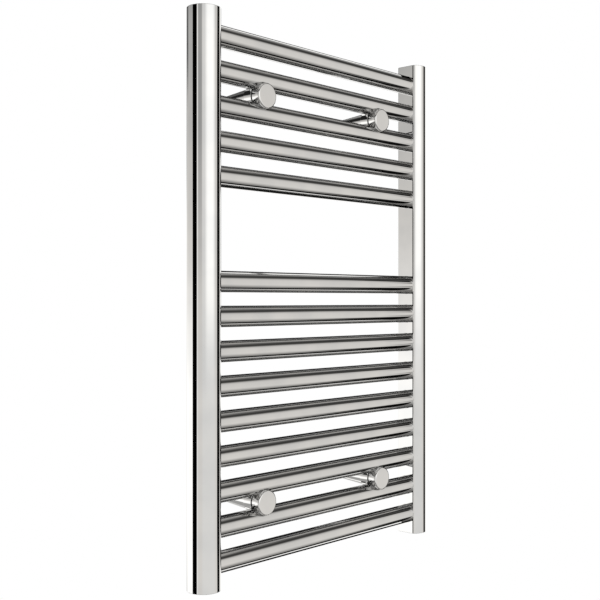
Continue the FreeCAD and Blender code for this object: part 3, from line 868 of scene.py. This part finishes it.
def panel_mask(nodes, links, heading, rise, panel):
    """1 inside a panel and 0 outside it, with its soft edges between."""
    azimuth, half, side_blur, bottom, top, end_blur, _ = panel
    aim = nodes.new("ShaderNodeVectorMath")
    aim.operation = "DOT_PRODUCT"
    turn = math.radians(azimuth)
    aim.inputs[1].default_value = (math.cos(turn), math.sin(turn), 0)
    links.new(heading, aim.inputs[0])
    outer = math.cos(math.radians(half + side_blur / 2))
    inner = math.cos(math.radians(max(0.5, half - side_blur / 2)))
    below = [math.sin(math.radians(bottom + shift)) for shift in (-end_blur / 2, end_blur / 2)]
    above = [math.sin(math.radians(top + shift)) for shift in (-end_blur / 2, end_blur / 2)]
    across = spread(nodes, links, aim.outputs["Value"], 0, 1, (outer, inner))
    rising = spread(nodes, links, rise, 0, 1, below)
    falling = spread(nodes, links, rise, 1, 0, above)
    return math_node(nodes, links, "MULTIPLY", math_node(nodes, links, "MULTIPLY", across, rising), falling)


def build_studio():
    """A studio seen only in reflections; the camera itself sees plain white."""
    world = bpy.data.worlds.new("studio")
    bpy.context.scene.world = world
    world.use_nodes = True
    nodes, links = world.node_tree.nodes, world.node_tree.links
    nodes.clear()
    direction = nodes.new("ShaderNodeTexCoord").outputs["Generated"]
    parts = nodes.new("ShaderNodeSeparateXYZ")
    links.new(direction, parts.inputs[0])
    rise = parts.outputs["Z"]
    flattened = nodes.new("ShaderNodeVectorMath")
    flattened.operation = "MULTIPLY"
    flattened.inputs[1].default_value = (1, 1, 0)
    links.new(direction, flattened.inputs[0])
    heading = nodes.new("ShaderNodeVectorMath")
    heading.operation = "NORMALIZE"
    links.new(flattened.outputs[0], heading.inputs[0])

    colour = sky_colour(nodes, links, rise)
    for panel in PANELS:
        mix = nodes.new("ShaderNodeMix")
        mix.data_type = "RGBA"
        links.new(panel_mask(nodes, links, heading.outputs[0], rise, panel), mix.inputs["Factor"])
        links.new(colour, mix.inputs["A"])
        mix.inputs["B"].default_value = tinted(level(panel[-1]), PANEL_TINT)
        colour = mix.outputs["Result"]

    studio = nodes.new("ShaderNodeBackground")
    links.new(colour, studio.inputs["Color"])
    plain = nodes.new("ShaderNodeBackground")
    plain.inputs["Color"].default_value = (1, 1, 1, 1)
    rays = nodes.new("ShaderNodeLightPath")
    choice = nodes.new("ShaderNodeMixShader")
    links.new(rays.outputs["Is Camera Ray"], choice.inputs[0])
    links.new(studio.outputs[0], choice.inputs[1])
    links.new(plain.outputs[0], choice.inputs[2])
    output = nodes.new("ShaderNodeOutputWorld")
    links.new(choice.outputs[0], output.inputs["Surface"])


FLOOR_RADIUS = 2.2
FLOOR_BOTTOM, FLOOR_TOP = -1.12, -1.10
FLOOR_LIGHT, FLOOR_DARK, FLOOR_ROUGH = (0.90, 0.90, 0.89, 1), (0.86, 0.86, 0.85, 1), 0.7


def build_floor():
    """A round pale floor well below the wall-hung radiator."""
    profile = [(0, FLOOR_BOTTOM), (FLOOR_RADIUS, FLOOR_BOTTOM), (FLOOR_RADIUS, FLOOR_TOP), (0, FLOOR_TOP)]
    mesh = turned("floor", profile, "Z", closed=False)
    floor = bpy.data.objects.new("floor", mesh)
    bpy.context.scene.collection.objects.link(floor)
    material, nodes, links, shader = new_material("pale_floor")
    place = nodes.new("ShaderNodeTexCoord").outputs["Object"]
    cloud = noise(nodes, links, place, CLOUD, 5.0)
    links.new(blend_colours(nodes, links, cloud, FLOOR_LIGHT, FLOOR_DARK), shader.inputs["Base Color"])
    shader.inputs["Roughness"].default_value = FLOOR_ROUGH
    mesh.materials.append(material)
    floor.visible_glossy = False


LIGHT_WIDTH = 1.6
LIGHT_POWER = 52                                  # watts
LIGHT_PLACE = Vector((-0.4, -0.8, 1.9))
LIGHT_AIM = Vector((0, 0, -0.2))


def build_light():
    """One wide soft light overhead, for the floor and the pieces that aren't mirrors."""
    data = bpy.data.lights.new("overhead", "AREA")
    data.shape = "DISK"
    data.size = LIGHT_WIDTH
    data.energy = LIGHT_POWER
    light = bpy.data.objects.new("overhead", data)
    light.location = LIGHT_PLACE
    light.rotation_euler = (LIGHT_AIM - LIGHT_PLACE).to_track_quat("-Z", "Y").to_euler()
    light.visible_glossy = False
    bpy.context.scene.collection.objects.link(light)


VIEW_TURN = math.radians(47.87)                   # the camera's heading, clockwise from +Y
VIEW_DISTANCE = 1.1823                            # to the middle of the rails' plane
VIEW_SIDE = 0.02317                               # the middle lies this far right of the view's axis
VIEW_DROP = 0.0009                                # and the axis this far below it
LENS, SENSOR = 60.94, 36                          # mm


def build_camera():
    ahead = Vector((math.sin(VIEW_TURN), math.cos(VIEW_TURN), 0))
    right = Vector((math.cos(VIEW_TURN), -math.sin(VIEW_TURN), 0))
    data = bpy.data.cameras.new("camera")
    data.lens = LENS
    data.sensor_width = SENSOR
    camera = bpy.data.objects.new("camera", data)
    camera.location = Vector((0, RAIL_Y, -VIEW_DROP)) - ahead * VIEW_DISTANCE - right * VIEW_SIDE
    camera.rotation_euler = ahead.to_track_quat("-Z", "Y").to_euler()
    bpy.context.scene.collection.objects.link(camera)
    bpy.context.scene.camera = camera


build_studio()
build_floor()
build_light()
build_camera()
bpy.context.scene.view_settings.view_transform = "Standard"
